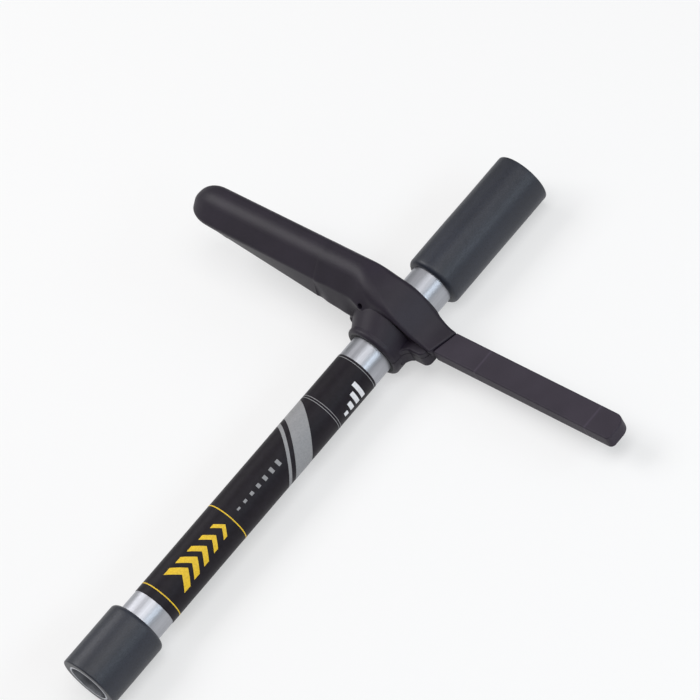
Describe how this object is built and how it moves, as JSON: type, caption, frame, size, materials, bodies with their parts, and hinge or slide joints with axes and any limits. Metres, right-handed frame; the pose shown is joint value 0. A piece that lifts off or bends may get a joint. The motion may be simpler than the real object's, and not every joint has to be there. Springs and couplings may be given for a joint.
{
  "type": "pole tool shaft section with cross handle",
  "caption": "Aluminium pole tool shaft section with a clamped cross handle, barrier bar, foam grip sleeves and inner drive shaft.",
  "frame": {"origin": "centre of the tube's lower end face, on the shaft axis", "axes": "+X along the shaft towards the upper end, +Y towards the grip arm, +Z through the top of the handle"},
  "size_m": [0.402, 0.3489, 0.0558],
  "materials": {
    "tube_aluminium": "satin drawn and clear anodised",
    "label_film": "gloss printed film",
    "sleeve_foam": "matte closed-cell foam skin",
    "carrier_rubber": "matte moulded rubber",
    "bush_bronze": "sintered bronze",
    "drive_steel": "ground and oiled",
    "liner_rubber": "matte moulded rubber",
    "handle_plastic": "fine grained moulded nylon",
    "bar_plastic": "fine grained moulded nylon",
    "screw_steel": "zinc plated",
    "insert_brass": "machined"
  },
  "bodies": {
    "shaft": {"shaft_tube": "tube_aluminium", "label_wrap": "label_film", "lower_grip_sleeve": "sleeve_foam", "upper_grip_sleeve": "sleeve_foam", "bush_carrier_lower": "carrier_rubber", "bush_carrier_middle": "carrier_rubber", "bush_carrier_upper": "carrier_rubber", "shaft_bush_lower": "bush_bronze", "shaft_bush_middle": "bush_bronze", "shaft_bush_upper": "bush_bronze"},
    "drive": {"drive_shaft": "drive_steel"},
    "liner": {"clamp_liner": "liner_rubber"},
    "handle": {"cross_handle": "handle_plastic", "barrier_bar": "bar_plastic", "clamp_cap": "handle_plastic", "clamp_screws": "screw_steel", "clamp_washers": "screw_steel", "clamp_inserts": "insert_brass"}
  },
  "joints": [
    {"name": "drive_spin", "type": "hinge", "parent": "shaft", "child": "drive", "pos_m": [0.201, 0, 0], "axis": [1, 0, 0], "continuous": true},
    {"name": "handle_slide", "type": "slide", "parent": "shaft", "child": "liner", "axis": [1, 0, 0], "range_m": [-0.012, 0.014]},
    {"name": "handle_turn", "type": "hinge", "parent": "liner", "child": "handle", "pos_m": [0.284, 0, 0], "axis": [1, 0, 0], "continuous": true}
  ]
}
